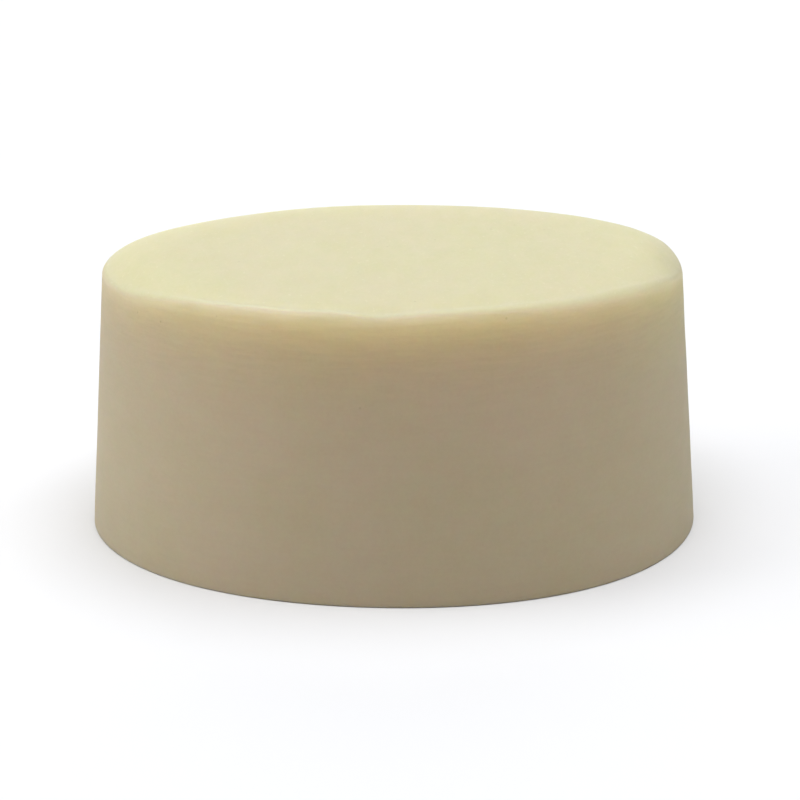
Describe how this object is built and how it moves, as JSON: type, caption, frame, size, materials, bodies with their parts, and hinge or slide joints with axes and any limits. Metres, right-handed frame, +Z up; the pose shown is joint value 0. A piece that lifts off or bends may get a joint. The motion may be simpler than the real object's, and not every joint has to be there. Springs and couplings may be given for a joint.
{
  "type": "shaving soap puck",
  "caption": "Round cast puck of hard cream-coloured shaving soap: gently tapered sides, a softly rounded upper edge and a wide flat face to rest on.",
  "frame": {"origin": "centre of the wide flat face that the puck rests on", "axes": "+Z up the puck's axis, from the wide resting face to the narrower top face; +X and +Y lie in the resting face, and the puck is the same all the way round"},
  "size_m": [0.07, 0.07, 0.031],
  "materials": {
    "soap": "satin"
  },
  "bodies": {
    "root": {"soap_puck": "soap"}
  },
  "joints": []
}
